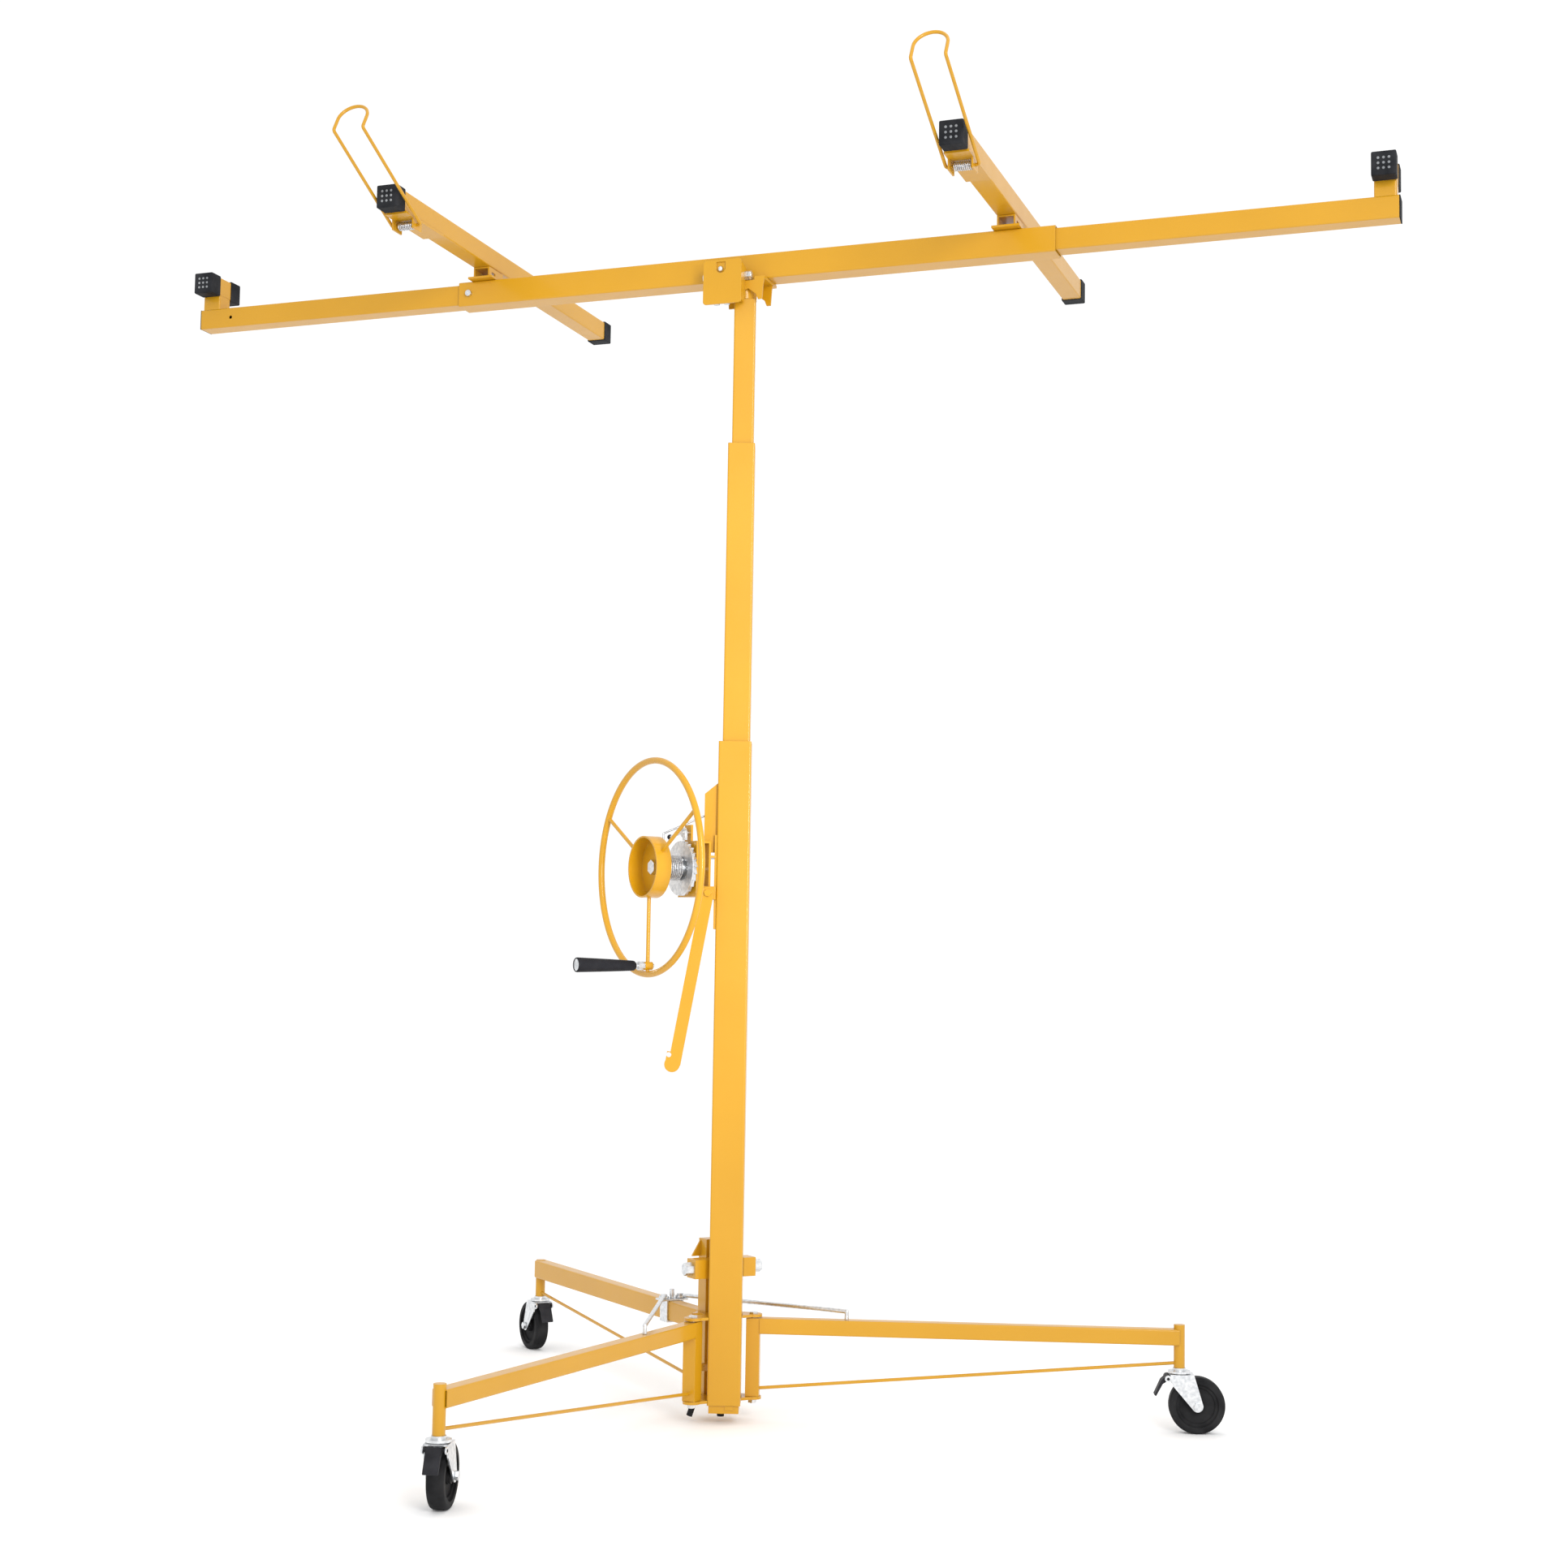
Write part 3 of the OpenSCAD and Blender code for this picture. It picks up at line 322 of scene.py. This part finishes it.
def cap(bm, low, high, face_y):
    """Square moulded cap with chamfered edges and a three by three grid of nubs on its face, painted pale as a
    highlight.
    """
    out = 1 if face_y > (low.y + high.y) / 2 else -1
    nub_height = 0.0009
    if out > 0:
        high = high - Vector((0, nub_height, 0))
    else:
        low = low + Vector((0, nub_height, 0))
    bevelled_box(bm, low, high, offset=0.003, segments=4, profile=0.6)
    pitch = (high.x - low.x) * 0.215
    base_y = face_y - out * nub_height
    before = set(bm.faces)
    for i in (-1, 0, 1):
        for k in (-1, 0, 1):
            spot = Vector(((low.x + high.x) / 2 + i * pitch, base_y, (low.z + high.z) / 2 + k * pitch))
            profile = [(-0.0005, 0.0024), (0.0004, 0.0023), (0.0008, 0.0018), (nub_height, 0.0009)]
            lathe(bm, profile, spot, Vector((0, out, 0)), 20)
    # Nub faces take the pale rubber: painted highlight.
    for face in set(bm.faces) - before:
        face.material_index = 1


def caps_for(node, length, middle=None):
    """Both end caps of one tube. Their middle is the node's own, unless middle gives another x."""
    low, high = (Vector(c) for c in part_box(node))
    side = CAP_SIDE
    top = high.z
    if middle is None:
        middle = (low.x + high.x) / 2
    bm = bmesh.new()
    for face, inner in ((low.y, low.y + length), (high.y, high.y - length)):
        corner_a = Vector((middle - side / 2, min(face, inner), top - side))
        corner_b = Vector((middle + side / 2, max(face, inner), top))
        cap(bm, corner_a, corner_b, face)
    return bm


def end_caps():
    """Rubber caps on the arms and rests, and a plug in the outer end of each outrigger."""
    length = CAP_LENGTH
    for side, sign in SIDES.items():
        finish_piece("arm_end_caps_" + side, caps_for("arm_caps_" + side, length),
                     "black_rubber", "cross_arm_" + side, ["arm_caps_" + side], smooth=False)
        low, high = (Vector(c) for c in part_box("outrigger_caps_" + side))
        outer = low.x if sign < 0 else high.x
        rest_x = outer - sign * (REST_INSET + REST_HALF_WIDTH)
        bm = caps_for("outrigger_caps_" + side, length, rest_x)
        tube_low = Vector(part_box("outrigger_" + side)[0])
        mid_y = (low.y + high.y) / 2
        inner = outer - sign * PLUG_THICKNESS
        plug_low = Vector((min(outer, inner), mid_y - PLUG_SIDE / 2, tube_low.z))
        plug_high = Vector((max(outer, inner), mid_y + PLUG_SIDE / 2, tube_low.z + PLUG_SIDE))
        bevelled_box(bm, plug_low, plug_high, offset=0.0007, segments=3)
        finish_piece("rest_caps_" + side, bm, "black_rubber", "outrigger_" + side,
                     ["outrigger_caps_" + side], smooth=False)


def panel_hooks():
    """Bent wire hooks with crisp corners and a round loop at the top."""
    wire = HOOK_WIRE
    for side in SIDES:
        pivot, _ = joint_place("panel_hook_swing_" + side)
        low = Vector(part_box("panel_hook_" + side)[0])
        half = HOOK_HALF_WIDTH
        bend = Vector((0, low.y + wire - pivot.y, HOOK_BEND_HEIGHT))
        lean = Vector((0, 0.013, 0.024))
        arc = bend + lean
        up = lean.normalized()
        loop = [arc + Vector((half * math.cos(a), 0, 0)) + half * math.sin(a) * up
                for a in (math.pi * k / 24 for k in range(25))]
        right = [Vector((0.016, 0, 0)), Vector((half, 0, 0)), Vector((half, 0, 0)) + bend]
        left = [Vector((-p.x, p.y, p.z)) for p in reversed(right)]
        first = rounded(right + [loop[0]], HOOK_CORNER)
        last = rounded([loop[-1]] + left, HOOK_CORNER)
        path = [pivot + p for p in first[:-1] + loop + last[1:]]
        bm = bmesh.new()
        sweep(bm, path, wire, 16)
        node = "panel_hook_" + side
        finish_piece("wire_hook_" + side, bm, SLOT_OF[node], node, [node])


def hook_springs():
    """Coiled torsion springs in place of the CAD sleeves."""
    turns, steps = 9, 20
    for side in SIDES:
        middle = centre("hook_spring_" + side)
        low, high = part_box("hook_spring_" + side)
        wire = SPRING_WIRE
        radius = (high[2] - low[2]) / 2 - wire
        length = high[0] - low[0] - 2 * wire
        path = []
        for k in range(turns * steps + 1):
            a = 2 * math.pi * k / steps
            along = -length / 2 + length * k / (turns * steps)
            path.append(middle + Vector((along, radius * math.cos(a), radius * math.sin(a))))
        bm = bmesh.new()
        sweep(bm, path, wire, 10)
        finish_piece("torsion_spring_" + side, bm, "spring_steel", "cross_arm_" + side, ["hook_spring_" + side])


def winch_cable():
    """Two layers of wire rope wound on the drum."""
    origin, axis = joint_place("winch_turn")
    side = axis.orthogonal().normalized()
    up = axis.cross(side)
    rope = ROPE
    start, end = DRUM_SPAN[0] + rope, DRUM_SPAN[1] - rope
    bm = bmesh.new()
    for radius in ROPE_LAYERS:
        turns = int((end - start) / (2 * rope))
        steps = 30
        path = []
        for k in range(turns * steps + 1):
            a = 2 * math.pi * k / steps
            along = start + (end - start) * k / (turns * steps)
            path.append(origin + axis * along + radius * (math.cos(a) * side + math.sin(a) * up))
        sweep(bm, path, rope, 8)
    finish_piece("wound_cable", bm, "steel_cable", "winch", ["cable_wrap"])


def crank_grip():
    """Smooth tapered sleeve, chamfered at the narrow end, with a bright plug in the wide end."""
    origin, axis = joint_place("crank_grip_spin")
    near, far = GRIP_SPAN
    profile = [(-near, 0.0042), (-near, 0.0068), (-near - 0.003, 0.0090)]
    steps = 24
    for k in range(1, steps + 1):
        share = k / steps
        profile.append((-near - 0.003 - (far - near - 0.0055) * share, 0.0090 + 0.0043 * share ** 0.8))
    profile += [(-far + 0.0008, 0.0129), (-far, 0.0122), (-far, 0.0112), (-far + 0.004, 0.0111)]
    bm = bmesh.new()
    lathe(bm, profile, origin, axis)
    finish_piece("tapered_crank_grip", bm, SLOT_OF["crank_grip"], "crank_grip", ["crank_grip"])
    bm = bmesh.new()
    lathe(bm, [(-far + 0.0038, 0.0110), (-far + 0.0009, 0.0110), (-far + 0.0003, 0.0104), (-far + 0.0005, 0.0010)],
          origin, axis)
    finish_piece("grip_end_plug", bm, "zinc_steel", "crank_grip")


def materials_on_frame():
    for node, obj in NODES.items():
        obj.data.materials.clear()
        obj.data.materials.append(MATERIALS[SLOT_OF[node]])


# ---- studio ----

def studio():
    """Pale floor, white surroundings and three lamps aimed at the middle of the mast."""
    scene = bpy.context.scene
    low, high = (Vector(c) for c in CAD_BOX)
    mesh = bpy.data.meshes.new("floor")
    reach = FLOOR_REACH
    corners = [(-reach, -reach, 0), (reach, -reach, 0), (reach, reach, 0), (-reach, reach, 0)]
    mesh.from_pydata(corners, [], [(0, 1, 2, 3)])
    floor = bpy.data.objects.new("floor", mesh)
    scene.collection.objects.link(floor)
    mat, nodes, links, bsdf = new_material("studio_floor")
    shades = [(0.2, (0.965, 0.965, 0.965)), (0.8, (0.985, 0.985, 0.985))]
    links.new(ramp(nodes, links, noise(nodes, links, 0.4), shades), bsdf.inputs["Base Color"])
    bsdf.inputs["Roughness"].default_value = 0.85
    mesh.materials.append(mat)
    world = bpy.data.worlds.new("studio")
    scene.world = world
    world.use_nodes = True
    world.node_tree.nodes["Background"].inputs["Color"].default_value = (1.0, 1.0, 1.0, 1.0)
    world.node_tree.nodes["Background"].inputs["Strength"].default_value = 1.05
    mast_middle = Vector((0, (low.y + high.y) / 2, high.z * 0.5))
    lamps = (("key", "AREA", (3.0, -3.8, 3.0), 1.6, 105, None),
             ("fill_on_mast", "SPOT", (3.0, -3.2, 1.25), 0.5, 430, 30),
             ("top", "AREA", (0.6, 0.8, 5.2), 3.0, 15, None))
    for name, kind, place, size, power, cone in lamps:
        light = bpy.data.lights.new(name, kind)
        light.energy = power
        if kind == "AREA":
            light.size = size
        else:
            light.shadow_soft_size = size
            light.spot_size = math.radians(cone)
            light.spot_blend = 0.9
        lamp = bpy.data.objects.new(name, light)
        lamp.location = place
        lamp.rotation_euler = (mast_middle - Vector(place)).to_track_quat("-Z", "Y").to_euler()
        scene.collection.objects.link(lamp)
    scene.view_settings.view_transform = "Standard"


def camera():
    """Camera at the viewing angle and focal length of the fitted view."""
    scene = bpy.context.scene
    heading, pitch, roll = (math.radians(a) for a in (-19.79, 4.64, -0.91))
    forward = Vector((math.sin(heading) * math.cos(pitch), math.cos(heading) * math.cos(pitch), math.sin(pitch)))
    level = Vector((math.cos(heading), -math.sin(heading), 0))
    down = forward.cross(level)
    right = level * math.cos(roll) + down * math.sin(roll)
    up = level * math.sin(roll) - down * math.cos(roll)
    data = bpy.data.cameras.new("camera")
    data.sensor_width = 36.0
    data.lens = 52.0
    data.clip_end = 100.0
    cam = bpy.data.objects.new("camera", data)
    place = Matrix.Translation((1.4972, -3.7672, 0.8194))
    cam.matrix_world = place @ Matrix((right, up, -forward)).transposed().to_4x4()
    scene.collection.objects.link(cam)
    scene.camera = cam


camera()
materials_on_frame()
end_caps()
panel_hooks()
hook_springs()
winch_cable()
crank_grip()
studio()
